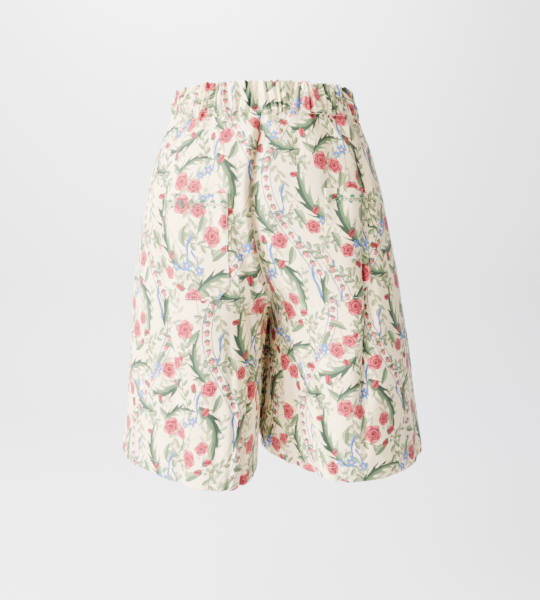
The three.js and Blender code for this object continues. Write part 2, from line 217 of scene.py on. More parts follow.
# Smaller folds and drag lines that only the cloth shows, in the same terms as the folds above
fineFolds = {
    "left": [
        {"z": [-290, -345, -400, -538], "at": [136, 124, 112, 96], "depth": -7.5, "width": 6.5},
        {"z": [-330, -420, -538], "at": [134, 124, 116], "depth": -3.6, "width": 7},
        {"z": [-330, -400, -538], "at": [152, 146, 140], "depth": 5, "width": 9},
        {"z": [-200, -300, -345, -520], "at": [52, 70, 76, 80], "depth": -5, "width": 4.5},
        {"z": [-240, -300, -345, -430], "at": [140, 148, 142, 130], "depth": -4, "width": 4.5},
        {"z": [-130, -210, -300], "at": [88, 98, 122], "depth": -2.8, "width": 7},
        {"z": [-190, -250, -310], "at": [104, 118, 140], "depth": -2.2, "width": 5},
        {"z": [-21, -70, -120], "at": [68, 74, 80], "depth": -2.6, "width": 7},
        {"z": [-120, -300, -500], "at": [12, 16, 12], "depth": -1.8, "width": 12},
        {"z": [-21, -80, -150], "at": [-30, -36, -44], "depth": -2.8, "width": 9},
        {"z": [-200, -300, -420], "at": [-100, -112, -96], "depth": -2.4, "width": 10},
    ],
    "right": [
        {"z": [-320, -430, -538], "at": [142, 126, 114], "depth": -5.5, "width": 6},
        {"z": [-200, -260, -330, -420], "at": [110, 122, 136, 130], "depth": -5, "width": 6},
        {"z": [-240, -300, -380, -500], "at": [130, 142, 150, 138], "depth": -4.5, "width": 5},
        {"z": [-300, -450, -538], "at": [112, 109, 100], "depth": -4.5, "width": 6},
        {"z": [-360, -450, -538], "at": [99, 96, 88], "depth": -2.4, "width": 9},
        {"z": [-21, -60, -110], "at": [62, 66, 70], "depth": -2.4, "width": 7},
        {"z": [-230, -300, -345], "at": [57, 68, 70], "depth": 2.4, "width": 7},
        {"z": [-150, -260, -330], "at": [100, 112, 140], "depth": -2.2, "width": 8},
        {"z": [-21, -80, -140], "at": [-34, -40, -50], "depth": -2.8, "width": 9},
        {"z": [-180, -300, -420], "at": [-104, -114, -98], "depth": -2.4, "width": 10},
    ],
}
for side, extra in fineFolds.items():
    folds[side] = folds[side] + extra

casingLook = {
    "gathers": 70,
    "depth": 5.4,
    "top": 21,
    "bottom": casingFoot,
    "bulge": 2.4,
    "tilt": 0.01,
    "thick": 2.7,
    "slack": 1.12,
    "columns": 1120,
}
# Waves that make the gathers uneven: how many round the waist, how strong, and where each starts
gatherLook = {
    "place": [(9, 0.32, 0.5), (23, 0.24, 1), (41, 0.14, 0)],
    "size": [(17, 0.2, 0.7), (29, 0.16, 2.2), (5, 0.1, 0)],
    "usualSize": 0.72,
    "lean": 0.018,
    "roundness": 0.55,
    "puff": 0.26,
    "crease": 0.3,
}
gatherFade = {"depth": 2.5, "fall": 18}
# How much wider the flat cloth is than its gathered top
printFullness = {"extra": 0.36, "fall": 40}


def wavesRound(turn, waves):
    return sum(strong * np.sin(count * turn + start) for count, strong, start in waves)


def gatherHeight(turn, z):
    # Height of the gathers round the waist, from -1 in the sharp valleys to 1 on the round ridges
    look = gatherLook
    phase = turn * casingLook["gathers"] / (2 * math.pi) + wavesRound(turn, look["place"])
    phase = phase + look["lean"] * z * np.sin(13 * turn + 2)
    ridge = np.abs(np.sin(math.pi * phase)) ** look["roundness"]
    size = look["usualSize"] + wavesRound(turn, look["size"])
    puff = 1 + look["puff"] * np.sin(z / 6.5 + 6 * np.sin(8 * turn + 1))
    crease = bell(np.sin(1.3 * math.pi * phase + 1.5 * np.sin(5 * turn)), 0.45)
    return (2 * ridge - 1) * size * puff - look["crease"] * crease


def turnOf(side, angle):
    return -angle if side == "left" else math.pi + angle


def ripples(u, v, seed, shortest, longest, lean, count=16):
    # Low unevenness of hanging cloth: waves of many widths that run mostly downwards
    rng = np.random.default_rng(seed)
    total = np.zeros(np.broadcast(u, v).shape)
    for _ in range(count):
        wide = rng.uniform(shortest, longest)
        way = rng.normal(0, lean)
        phase = rng.uniform(0, 2 * math.pi)
        wave = 2 * math.pi * (u * math.cos(way) + v * math.sin(way)) / wide
        total += np.sin(wave + phase + 0.9 * np.sin(v / wide / 1.7 + phase * 2)) * wide / longest
    return total / math.sqrt(count)


def makeMesh(name, points, faces, uvs, materials, faceMaterial=None):
    # points in millimetres, uvs one pair for each corner in metres
    mesh = bpy.data.meshes.new(name)
    mesh.from_pydata((np.asarray(points) / 1000).tolist(), [], np.asarray(faces).tolist())
    for material in materials:
        mesh.materials.append(material)
    if faceMaterial is not None:
        mesh.polygons.foreach_set("material_index", np.asarray(faceMaterial, np.int32))
    if uvs is not None:
        layer = mesh.uv_layers.new(name="cloth")
        layer.data.foreach_set("uv", np.asarray(uvs, np.float32).ravel())
    mesh.polygons.foreach_set("use_smooth", np.ones(len(mesh.polygons), bool))
    mesh.update()
    piece = bpy.data.objects.new(name, mesh)
    bpy.context.scene.collection.objects.link(piece)
    return piece


def gridFaces(rows, columns, outward, start=0):
    i, j = np.meshgrid(np.arange(rows - 1), np.arange(columns - 1), indexing="ij")
    a = (start + i * columns + j).ravel()
    quad = np.stack([a, a + 1, a + columns + 1, a + columns], -1)
    return quad if outward > 0 else quad[:, ::-1]


# The panels: one shell for each, from the waist to the turned hem
panelLook = {
    "columns": 118,
    "cloth": 0.7,
    "seamDip": 0.9,
    "seamWidth": 1.7,
    "pucker": 0.3,
    "puckerPitch": 8.5,
    "puckerReach": 7,
    "wrinkle": 0.7,
    "wrinkleSizes": (16, 60),
    "wrinkleSeed": {("left", -1): 3, ("left", 1): 4, ("right", -1): 5, ("right", 1): 6},
    "tuckAt": -24,
    "tuck": 2.2,
    "tuckGroove": 1.2,
    "hemDepth": 20,
    "hemStitch": 0.45,
    "hemRise": 0.35,
    "turnUp": 1.35,
    "sliver": 0.0002,
    "printShift": {
        ("left", 1): (0.052, 0.012),
        ("right", 1): (-0.196, 0.043),
        ("left", -1): (0.31, -0.1),
        ("right", -1): (-0.12, 0.2),
    },
}
# Levels of the rows, closer at the waist, the crotch and the hem
panelRows = np.concatenate([
    np.arange(-18.6, -60, -1.7),
    np.arange(-60, -282, -2.8),
    np.arange(-282, -308, -1.3),
    np.arange(-308, -508, -2.9),
    np.arange(-508, -537.2, -1.4),
    [-538.0],
])


def panelGrid(side, direction, rows, columns):
    # From the side seam to the centre seam, or below the crotch to the inseam
    z = rows.astype(float)
    start = panelLook["sliver"]
    inseam = math.pi - start
    seam = np.minimum(inseam, angleWhere(side, z, 0.04, direction))
    end = np.where(z > form["crotchZ"], seam, inseam)
    share = np.linspace(0, 1, columns + 1)
    angle = direction * (start + (end[:, None] - start) * share)
    zGrid = np.repeat(z[:, None], columns + 1, 1)
    return zGrid, angle, clothPoint(side, zGrid, angle)


def flatMap(side, direction, z, angle, points):
    # Flat cloth in metres, u to the right and v up as seen from outside, from a line down the middle
    across = arcLength(points, 1)
    level = z[:, 0]
    middle = angleWhere(side, level, 0.5 * ringAt(side, level)["reach"], direction)
    line = clothPoint(side, level, direction * middle)
    down = arcLength(line[:, None], 0)
    start = [np.interp(at, np.abs(row), reach) for at, row, reach in zip(middle, angle, across)]
    fullness = 1 + printFullness["extra"] * np.exp(-np.maximum(0, casingFoot - z) / printFullness["fall"])
    u = -signOf(side) * direction * (across - np.array(start)[:, None]) * fullness
    shift = panelLook["printShift"][(side, direction)]
    return np.stack([u / 1000 + shift[0], -np.repeat(down, points.shape[1], 1) / 1000 + shift[1]], -1)


# Down the front seam the wearer's right half rolls over the left half, which dips into a narrow crease by it
flyLook = {
    "from": -26,
    "to": -308,
    "dip": 6,
    "dipWidth": {"left": 12, "right": 3},
    "crease": 8.5,
    "creaseWidth": 2.7,
    "roll": 6.5,
    "rollAt": 10,
    "rollWidth": 8,
}


def flyFold(side, z, fromSeam):
    look = flyLook
    strength = smoothStep((look["from"] - z) / 30) * smoothStep((z - look["to"]) / 12)
    strength = strength * (0.85 + 0.15 * np.sin(z / 11))
    lift = -look["dip"] * bell(fromSeam, look["dipWidth"][side])
    lift = lift - look["crease"] * bell(fromSeam, look["creaseWidth"])
    if side == "right":
        roll = bell(fromSeam - look["rollAt"], look["rollWidth"])
        lift = lift + look["roll"] * roll * smoothStep(fromSeam / 5)
    return lift * strength


# Behind the inseam the legs touch: a soft ridge on each passes the midline, at its own depth
touchLook = {"at": {"left": 32, "right": 53}, "width": 12, "reach": 38, "past": 1.5, "start": 10}


def legTouch(side, z, points):
    look = touchLook
    sign = signOf(side)
    off = sign * (points[..., 0] - alongLevels(form["midline"]["z"], form["midline"]["x"], z))
    y = points[..., 1]
    ridge = bell(y - look["at"][side], look["width"]) * smoothStep(y / 8)
    ridge = ridge * smoothStep((look["reach"] - off) / 16) * smoothStep((form["crotchZ"] - z) / look["start"])
    return -sign * (off + look["past"]) * ridge


def gathersBelow(side, z, angle):
    # The gathers of the casing run on into the panel and fade
    gather = gatherHeight(turnOf(side, angle), z)
    return gatherFade["depth"] * gather * np.exp(-np.maximum(0, casingFoot - z) / gatherFade["fall"])


def panelLift(side, direction, z, angle, u, across):
    # How far the cloth stands off its plain form, in millimetres
    look = panelLook
    toEnd = across[:, -1:] - across
    lift = -look["seamDip"] * (bell(across, look["seamWidth"]) + bell(toEnd, look["seamWidth"]))
    nearSeam = np.exp(-across / look["puckerReach"]) + np.exp(-toEnd / look["puckerReach"])
    pucker = np.sin(2 * math.pi * z / look["puckerPitch"] + 1.3 * np.sin(z / 23))
    lift = lift + look["pucker"] * nearSeam * pucker
    if direction > 0:
        lift = lift + flyFold(side, z, toEnd)
    wrinkle = ripples(u, z, look["wrinkleSeed"][(side, direction)], *look["wrinkleSizes"], 0.5)
    strength = (1 - 0.6 * nearSeam) * (0.75 + 0.5 * np.exp(-(casingFoot - z) / 60))
    lift = lift + look["wrinkle"] * wrinkle * strength
    lift = lift + gathersBelow(side, z, angle)
    fromTuck = z - look["tuckAt"]
    lift = lift - look["tuck"] * np.exp(-np.maximum(0, fromTuck) / 1.5) * (fromTuck > 0)
    lift = lift - look["tuckGroove"] * bell(fromTuck, 2.2)
    fromHem = z - form["hemZ"]
    lift = lift - look["hemStitch"] * bell(fromHem - look["hemDepth"], 1.3)
    return lift + look["hemRise"] * smoothStep((look["hemDepth"] - fromHem) / 3)


def panelSurface(side, direction, rows, columns):
    z, angle, points = panelGrid(side, direction, rows, columns)
    normal = gridNormals(points, direction * signOf(side))
    flat = flatMap(side, direction, z, angle, points)
    lift = panelLift(side, direction, z, angle, flat[..., 0] * 1000, arcLength(points, 1))
    moved = points + normal * lift[..., None]
    if direction < 0:
        moved[..., 0] = moved[..., 0] + legTouch(side, z, moved)
    above = z[:, -1] > form["crotchZ"]
    moved[above, -1, 0] = points[above, -1, 0]
    return z, angle, moved, normal, flat


clothPanels = {}
clothSurfaces = {}


def makePanel(name, side, direction, outside, inside):
    look = panelLook
    z, angle, points, normal, flat = panelSurface(side, direction, panelRows, look["columns"])
    clothPanels[(side, direction)] = (z, angle, flat)
    clothSurfaces[(side, direction)] = (z[:, 0], points, normal)
    # The hem turns under and runs up inside the leg
    up = np.concatenate([[0.0], np.arange(2.0, look["hemDepth"] + 3, 3.0)])
    turned = []
    turnedFlat = []
    for rise in up:
        row = np.argmin(np.abs(z[:, 0] - (form["hemZ"] + rise)))
        inset = look["turnUp"] + (0.25 if rise == up[-1] else 0)
        shifted = points[row] - normal[row] * inset
        if rise == 0:
            shifted = points[row] - normal[row] * inset * 0.5
            shifted[:, 2] -= inset * 0.45
        turned.append(shifted)
        turnedFlat.append(flat[-1] - np.array([0, rise / 1000]))
    points = np.concatenate([points, np.array(turned)])
    flat = np.concatenate([flat, np.array(turnedFlat)])
    rows, columns = points.shape[:2]
    faces = gridFaces(rows, columns, direction * signOf(side))
    uvs = flat.reshape(-1, 2)[faces].reshape(-1, 2)
    piece = makeMesh(name, points.reshape(-1, 3), faces, uvs, [outside, inside])
    wall = piece.modifiers.new("cloth", "SOLIDIFY")
    wall.thickness = look["cloth"] / 1000
    wall.offset = -1
    wall.use_quality_normals = True
    wall.material_offset = 1
    wall.material_offset_rim = 0
    return piece


# The casing: a folded ring of cloth round the elastic, gathered all round
def casingProfile():
    look = casingLook
    # Levels and insets, up the outside, over the top, down the inside and under
    outer = [(z, 0.0) for z in np.linspace(look["bottom"] + 0.4, look["top"] - 1.4, 17)]
    over = [(look["top"] - 0.5, 0.25), (look["top"], 0.9), (look["top"] - 0.1, 1.7), (look["top"] - 0.9, 2.4)]
    inner = [(z, look["thick"]) for z in np.linspace(look["top"] - 3, look["bottom"] + 1, 8)]
    under = [(look["bottom"] + 0.2, 2.3), (look["bottom"], 1.4), (look["bottom"] + 0.05, 0.5)]
    return outer, over, inner, under


def ringRadius(turn, z):
    # Half the width and half the depth of the waist ring, on the side where a turn lies
    outerX = np.where(np.cos(turn) > 0, alongLevels(levels, legs["left"]["outer"], z),
                      alongLevels(levels, legs["right"]["outer"], z))
    front = alongLevels(levels, legs["left"]["front"], z)
    back = alongLevels(levels, legs["left"]["back"], z)
    return outerX, np.where(np.sin(turn) < 0, front, back)


def casingPoint(turn, z, inset):
    look = casingLook
    up = (z - look["bottom"]) / (look["top"] - look["bottom"])
    swell = look["bulge"] * np.sin(math.pi * np.clip(up * 1.1, 0, 1)) - 1.4 * np.exp(-up * 9)
    ruffle = 0.9 * smoothStep((up - 0.78) / 0.2)
    height = gatherHeight(turn, z)
    inside = np.clip(inset / look["thick"], 0, 1)
    gather = look["depth"] * height * (1 - 0.45 * inside) * (0.78 + 0.22 * np.sin(math.pi * up))
    out = gather + swell + ruffle - inset
    reachX, reachY = ringRadius(turn, z)
    x = (reachX + out) * np.cos(turn)
    y = (reachY + out) * np.sin(turn)
    lift = np.clip((up - 0.7) / 0.3, 0, 1) * (1.7 * height + look["tilt"] * x)
    return np.stack([x, y, z + lift], -1)


def casingPrint(turn, profile, faces, outerRows):
    # The print runs on from the panel below each quarter
    look = casingLook
    count = look["columns"]
    uvs = np.zeros((len(faces), 4, 2))
    middle = (turn[faces[:, 0] % count] + math.pi / count) % (2 * math.pi)
    quarter = np.floor(middle / (math.pi / 2)).astype(int)
    heights = np.array([z for z, _ in profile])
    for index, key in enumerate([("left", -1), ("right", -1), ("right", 1), ("left", 1)]):
        z, angle, flat = clothPanels[key]
        row = np.argmin(np.abs(z[:, 0] - casingFoot))
        chosen = np.where(quarter == index)[0]
        panelTurn = turnOf(key[0], angle[row]) % (2 * math.pi)
        cornerTurn = turn[faces[chosen] % count]
        if index == 3:
            # The last quarter ends at a whole turn, not at 0
            panelTurn = np.where(panelTurn < 1, panelTurn + 2 * math.pi, panelTurn)
            cornerTurn = np.where(cornerTurn < 1, cornerTurn + 2 * math.pi, cornerTurn)
        order = np.argsort(panelTurn)
        cornerZ = heights[faces[chosen] // count]
        inner = faces[chosen] // count > outerRows + 1
        uvs[chosen, :, 0] = np.interp(cornerTurn, panelTurn[order], flat[row][order, 0])
        rise = np.where(inner, 2 * look["top"] - cornerZ, cornerZ) - look["bottom"]
        uvs[chosen, :, 1] = flat[row, 0, 1] + rise * look["slack"] / 1000
    return uvs.reshape(-1, 2)


def makeCasing(name, outside, inside):
    outer, over, inner, under = casingProfile()
    profile = outer + over + inner + under
    count = casingLook["columns"]
    turn = np.linspace(0, 2 * math.pi, count, endpoint=False)
    points = np.array([casingPoint(turn, np.full_like(turn, z), inset) for z, inset in profile])
    i, j = np.meshgrid(np.arange(len(profile)), np.arange(count), indexing="ij")
    nextI = (i + 1) % len(profile)
    nextJ = (j + 1) % count
    faces = np.stack([i * count + j, i * count + nextJ, nextI * count + nextJ, nextI * count + j], -1)
    faces = faces.reshape(-1, 4)
    uvs = casingPrint(turn, profile, faces, len(outer))
    inwards = faces[:, 0] // count >= len(outer) + 2
    return makeMesh(name, points.reshape(-1, 3), faces, uvs, [outside, inside], inwards)


# The patch pockets: made from the panel's own surface, moved out
pocketLook = {
    "top": {"left": -123, "right": -130},
    "bottom": -274,
    "corner": 20,
    "band": 14,
    "rise": 1.35,
    "bandRise": 0.45,
    "clear": 0.25,
    "stitchIn": 2.4,
    "stitchDepth": 0.4,
    "gape": 1.6,
    "printShift": {"left": (0.031, -0.068), "right": (-0.074, 0.131)},
    "edges": {
        "z": [21, -123, -200, -274, -538],
        "left": {"outer": [0.79, 0.79, 0.75, 0.71, 0.64], "inner": [0.47, 0.47, 0.42, 0.38, 0.34]},
        "right": {"outer": [0.77, 0.77, 0.74, 0.71, 0.68], "inner": [0.18, 0.2, 0.22, 0.24, 0.28]},
    },
}
# Distances from a pocket's edge at which its grid has lines
edgeSteps = np.array([0, 0.35, 0.8, 1.3, 1.9, 2.4, 2.9, 3.6, 4.6])


def pocketSteps(length, spacing):
    middle = np.linspace(edgeSteps[-1], length - edgeSteps[-1], int(length / spacing))
    return np.concatenate([edgeSteps[:-1], middle, (length - edgeSteps[:-1])[::-1]])


def pocketSurface(side, lift):
    # lift gives each point's height over the panel, in millimetres
    look = pocketLook
    top = look["top"][side]
    height = top - look["bottom"]
    fromTop = pocketSteps(height, 2.6)
    z = top - fromTop
    edges = look["edges"]
    reach = ringAt(side, z)["reach"]
    outer = angleWhere(side, z, reach * alongLevels(edges["z"], edges[side]["outer"], z), 1)
    inner = angleWhere(side, z, reach * alongLevels(edges["z"], edges[side]["inner"], z), 1)
    probes = 60
    angles = outer[:, None] + (inner - outer)[:, None] * np.linspace(0, 1, probes)
    wide = arcLength(clothPoint(side, np.repeat(z[:, None], probes, 1), angles), 1)
    width = wide[:, -1].mean()
    across = pocketSteps(width, 2.4)
    share = across / width
    fromBottom = height - fromTop
    cut = np.maximum(0, look["corner"] - fromBottom)[:, None]
    place = cut + (width - 2 * cut) * share
    angle = outer[:, None] + (inner - outer)[:, None] * place / width
    zGrid = np.repeat(z[:, None], len(share), 1)
    points = clothPoint(side, zGrid, angle)
    normal = gridNormals(points, signOf(side))
    sideways = np.minimum(across, width - across)[None, :] * np.ones_like(zGrid)
    sideways = np.where(cut > 0, sideways * 0.85, sideways)
    upDown = np.minimum(fromTop, fromBottom)[:, None] * np.ones_like(zGrid)
    fromEdge = np.minimum(sideways, upDown)
    down = np.repeat(fromTop[:, None], len(share), 1)
    height = lift(fromEdge, down, np.repeat(share[None], len(z), 0), sideways, fromBottom[:, None])
    height = height + gathersBelow(side, zGrid, angle) + look["clear"]
    face = {"points": points + normal * height[..., None], "normal": normal}
    face.update({"place": place, "fromTop": fromTop, "width": width})
    return face


def pocketGape(fromTop, share):
    # The top edge stands a little open
    return pocketLook["gape"] * np.sin(math.pi * share) * np.exp(-fromTop / 16)


def pocketOuter(fromEdge, fromTop, share, sideways, fromBottom):
    look = pocketLook
    turned = look["rise"] * (1 - bell(fromEdge + 0.25, 0.7)) + 0.15
    groove = np.maximum(bell(sideways - look["stitchIn"], 0.6), bell(fromBottom - look["stitchIn"], 0.6))
    bandFoot = bell(fromTop - look["band"], 0.8)
    band = look["bandRise"] * smoothStep((look["band"] - fromTop) / 1.2 + 0.5)
    return turned - look["stitchDepth"] * (groove + 0.6 * bandFoot) + band + pocketGape(fromTop, share)


def pocketInner(fromEdge, fromTop, share, sideways, fromBottom):
    return 0.1 + pocketGape(fromTop, share)


pocketFaces = {}


def makePocket(name, side, outside, inside):
    face = pocketSurface(side, pocketOuter)
    pocketFaces[side] = face
    outer = face["points"]
    inner = pocketSurface(side, pocketInner)["points"]
    rows, columns = outer.shape[:2]
    sign = signOf(side)
    faces = gridFaces(rows, columns, sign)
    backs = gridFaces(rows, columns, -sign, rows * columns)
    index = np.arange(rows * columns).reshape(rows, columns)
    border = np.concatenate([index[0, :-1], index[:-1, -1], index[-1, :0:-1], index[:0:-1, 0]])
    following = np.roll(border, -1)
    rim = np.stack([border, border + rows * columns, following + rows * columns, following], -1)
    if sign < 0:
        rim = rim[:, ::-1]
    shift = pocketLook["printShift"][side]
    u = -sign * (face["place"] - face["width"] / 2) / 1000 + shift[0]
    v = -np.repeat(face["fromTop"][:, None], columns, 1) / 1000 + shift[1]
    flat = np.stack([u, v], -1).reshape(-1, 2)
    flat = np.concatenate([flat, flat])
    allFaces = np.concatenate([faces, backs, rim])
    isBack = np.concatenate([np.zeros(len(faces)), np.ones(len(backs)), np.zeros(len(rim))])
    uvs = flat[allFaces].reshape(-1, 2)
    points = np.concatenate([outer.reshape(-1, 3), inner.reshape(-1, 3)])
    return makeMesh(name, points, allFaces, uvs, [outside, inside], isBack)


# Materials
def linear(red, green, blue):
    def one(value):
        value = value / 255
        return value / 12.92 if value <= 0.04045 else ((value + 0.055) / 1.055) ** 2.4
    return (one(red), one(green), one(blue), 1.0)


class Value:
    # A number that changes over the cloth: an expression on it adds the Math nodes
    def __init__(self, paint, socket):
        self.paint = paint
        self.socket = socket

    def math(self, operation, *others):
        return self.paint.math(operation, self, *others)

    def __add__(self, other):
        return self.math("ADD", other)

    def __radd__(self, other):
        return self.math("ADD", other)

    def __sub__(self, other):
        return self.math("SUBTRACT", other)

    def __rsub__(self, other):
        return self.paint.math("SUBTRACT", other, self)

    def __mul__(self, other):
        return self.math("MULTIPLY", other)

    def __rmul__(self, other):
        return self.math("MULTIPLY", other)

    def __truediv__(self, other):
        return self.math("DIVIDE", other)

    def __rtruediv__(self, other):
        return self.paint.math("DIVIDE", other, self)

    def __lt__(self, other):
        return self.math("LESS_THAN", other)

    def __gt__(self, other):
        return self.math("GREATER_THAN", other)


class Paint:
    # One material and the nodes that colour it
    def __init__(self, name):
        self.material = bpy.data.materials.new(name)
        self.material.use_nodes = True
        self.tree = self.material.node_tree
        self.shader = self.tree.nodes["Principled BSDF"]

    def node(self, kind, settings=None, inputs=None, output=0):
        made = self.tree.nodes.new(kind)
        for key, value in (settings or {}).items():
            setattr(made, key, value)
        for key, value in (inputs or {}).items():
            self.feed(made.inputs[key], value)
        return Value(self, made.outputs[output])

    def feed(self, socket, value):
        if isinstance(value, Value):
            self.tree.links.new(value.socket, socket)
        else:
            socket.default_value = value

    def math(self, operation, *values):
        return self.node("ShaderNodeMath", {"operation": operation}, dict(enumerate(values)))

    def vector(self, operation, *values, output=0):
        return self.node("ShaderNodeVectorMath", {"operation": operation}, dict(enumerate(values)), output)

    def parts(self, vector):
        x = self.node("ShaderNodeSeparateXYZ", None, {0: vector})
        return x, Value(self, x.socket.node.outputs[1])

    def join(self, x, y):
        return self.node("ShaderNodeCombineXYZ", None, {0: x, 1: y})

    def mix(self, amount, first, second):
        settings = {"data_type": "RGBA", "clamp_factor": True}
        return self.node("ShaderNodeMix", settings, {0: amount, 6: first, 7: second}, 2)

    def mixVector(self, amount, first, second):
        return self.node("ShaderNodeMix", {"data_type": "VECTOR"}, {0: amount, 4: first, 5: second}, 1)

    def ramp(self, value, low, high):
        # 0 below low and 1 above high, soft between
        settings = {"interpolation_type": "SMOOTHSTEP"}
        return self.node("ShaderNodeMapRange", settings, {0: value, 1: low, 2: high, 3: 0.0, 4: 1.0})

    def fade(self, value, low, high):
        # 1 below low and 0 above high
        return 1 - self.ramp(value, low, high)

    def noise(self, place, scale, detail=2.0, output=0):
        inputs = {"Vector": place, "Scale": scale, "Detail": detail}
        return self.node("ShaderNodeTexNoise", None, inputs, output)

    def bump(self, height, strength):
        inputs = {"Strength": strength, "Distance": 0.00025, "Height": height}
        return self.node("ShaderNodeBump", None, inputs)

    def surface(self, values):
        for name, value in values.items():
            self.feed(self.shader.inputs[name], value)
        return self.material


# The print, in millimetres on the flat cloth: a generic trailing garland with roses in a half-drop repeat
printLook = {
    "across": 270,
    "down": 350,
    "swing": 36,
    "budPitch": 13,
    "tendrils": [
        {"pitch": 67.5, "swing": 26, "waves": 1, "shift": 20},
        {"pitch": 135, "swing": 52, "waves": 2, "shift": 66},
    ],
    "moreSprays": [{"shift": (41, 57), "strength": 0.7}, {"shift": (-4, -30), "strength": 0.85}],
    "warp": 0.62,
    "weft": 0.7,
}
dyes = {
    "ground": (250, 231, 186),
    "shade": (240, 210, 152),
    "inside": (236, 226, 204),
    "rose": (164, 34, 52),
    "roseDeep": (92, 8, 26),
    "rosePale": (212, 92, 98),
    "leaf": (50, 78, 60),
    "leafDeep": (32, 56, 44),
    "sage": (80, 104, 72),
    "pale": (142, 156, 104),
    "stem": (88, 96, 64),
    "blue": (56, 112, 190),
    "blueDeep": (52, 74, 148),
    "tan": (222, 160, 96),
}
ink = {name: linear(*dye) for name, dye in dyes.items()}
# Where each motif lies in one repeat: millimetres from its middle, degrees, and half its length
motifs = {
    "rose": [
        (-20, 28, 10, 14), (3, 21, 140, 12), (24, -14, 60, 15), (44, 6, 200, 11), (-6, -98, 30, 14),
        (14, -110, 250, 12), (-30, 112, 80, 13), (-12, 126, 300, 11), (42, 92, 170, 13),
        (0, 175, 30, 14), (-44, -64, 110, 11),
    ],
    "scroll": [
        (-46, -20, 112, 44), (50, 36, -62, 42), (32, -72, 18, 36), (-34, 84, 203, 40),
        (22, 132, 105, 34), (-30, -138, 60, 36), (-4, 54, 20, 30), (50, -122, 150, 30),
    ],
    "spray": [
        (-60, 48, 82, 30), (62, -52, -104, 30), (8, 78, 96, 28), (-10, -62, -88, 28),
        (-50, -96, 136, 28), (56, 124, -30, 28), (2, 148, 70, 26), (36, -146, -150, 28),
        (-56, 156, 20, 26), (6, -26, -30, 30),
    ],
    "leaf": [
        (-34, 46, 150, 15), (8, 2, 250, 14), (36, -38, 30, 16), (-20, -12, 80, 14),
        (8, -86, 130, 14), (30, -102, -40, 15), (-46, 128, 60, 15), (30, 108, 200, 14),
        (56, 70, -110, 15), (-18, -124, 10, 14), (14, 164, 230, 14), (-60, -50, -60, 14),
        (-26, 148, -20, 14), (60, 4, 100, 15),
    ],
    "ribbon": [
        (-12, -36, 78, 26), (-4, -38, 104, 22), (28, 66, 84, 24), (-50, -140, 96, 24),
        (52, 150, 80, 22),
    ],
    "bud": [
        (-44, 66, 20, 8), (56, -14, -60, 8), (-38, -40, 160, 7), (40, 58, -20, 8),
        (24, -130, 200, 8), (-16, 94, 40, 7), (58, -92, -100, 7), (-62, 8, 90, 7), (20, 92, 10, 7),
        (-4, 132, -30, 7), (-24, -84, 70, 7), (44, -30, 110, 7),
    ],
    "bloom": [
        (-14, -54, 0, 9), (4, -60, 30, 8), (-30, -56, 50, 7), (22, 44, 10, 9), (10, 36, 40, 7),
        (-48, 112, 0, 9), (-60, 100, 25, 7), (44, -112, 15, 8), (34, -96, 45, 7),
    ],
}


def halfDrop(paint, place, shiftX, shiftY):
    look = printLook
    half = look["across"] / 2
    x, y = paint.parts(place)
    step = ((x - shiftX) / half).math("ROUND")
    x = x - shiftX - step * half
    y = y - shiftY - step * (look["down"] / 2)
    y = y - (y / look["down"]).math("ROUND") * look["down"]
    return paint.join(x, y)


def oval(x, wide, y, high):
    # Under 1 inside an oval round 0, 0 with these half sizes
    x = x / wide
    y = y / high
    return x * x + y * y


def withNeighbours(spots):
    # Each motif again wherever the repeat brings it over the edge of the cell
    half = printLook["across"] / 2
    drop = printLook["down"] / 2
    placed = []
    for x, y, turn, size in spots:
        for i, j in ((0, 0), (0, 2), (0, -2), (1, 1), (1, -1), (-1, 1), (-1, -1)):
            nextX = x + i * half
            nextY = y + j * drop
            if abs(nextX) < half / 2 + size and abs(nextY) < drop + size:
                placed.append((nextX, nextY, turn, size))
    return placed


# Presses a motif's turn and size into the z of its middle, too small there to count in a distance
packing = 1e-5


def nearestMotif(paint, cell, spots):
    # The place in the nearest motif's turned frame, where its half length is 1, and the way from its middle
    best = None
    for x, y, turn, size in withNeighbours(spots):
        middle = (x, y, (turn % 360 + size / 100) * packing)
        away = paint.vector("DISTANCE", cell, middle, output=1)
        if best is None:
            best = middle
            nearest = away
        else:
            best = paint.mixVector(away < nearest, best, middle)
            nearest = nearest.math("MINIMUM", away)
    offX, offY = paint.parts(paint.vector("SUBTRACT", cell, best))
    packed = paint.vector("DOT_PRODUCT", best, (0, 0, 1 / packing), output=1)
    size = packed.math("FRACT") * 100
    turn = packed.math("FLOOR") * (math.pi / 180)
    cos = turn.math("COSINE") / size
    sin = turn.math("SINE") / size
    x = offX * cos + offY * sin
    y = offY * cos - offX * sin
    return x, y, (x * x + y * y).math("SQRT")


def paintGarland(paint, colour, place):
    # Buds and leaves between two thin blue lines, along a waving path
    look = printLook
    half = look["across"] / 2
    rate = 2 * math.pi / look["down"]
    x, y = paint.parts(place)
    step = (x / half).math("ROUND")
    odd = step - (step / 2).math("FLOOR") * 2
    way = 1 - odd * 2
    wave = (y * rate).math("SINE") * way * look["swing"]
    slope = (y * rate).math("COSINE") * way * (look["swing"] * rate)
    steep = 1 / (slope * slope + 1)
    gap = x - step * half - wave
    off = gap * steep.math("SQRT")
    along = (y + gap * slope * steep) / look["budPitch"]
    side = off.math("ABSOLUTE")
    cell = (along.math("FRACT") - 0.5) * 14
    bud = oval(off, 3.0, cell + 1.4, 3.9)
    leaf = oval(cell - 4.3 + side * 0.9, 1.5, side - 2.0, 2.7)
    colour = paint.mix(paint.fade(leaf, 0.7, 1.2), colour, ink["leaf"])
    shade = paint.ramp(bud + off / 7, 0.15, 0.95)
    petal = paint.mix(shade, ink["rosePale"], ink["rose"])
    petal = paint.mix(paint.ramp(cell, -0.2, 2.0), petal, ink["roseDeep"])
    colour = paint.mix(paint.fade(bud, 0.8, 1.15), colour, petal)
    line = (side - 6.2).math("ABSOLUTE")
    return paint.mix(paint.fade(line, 0.35, 1.0), colour, ink["blueDeep"])


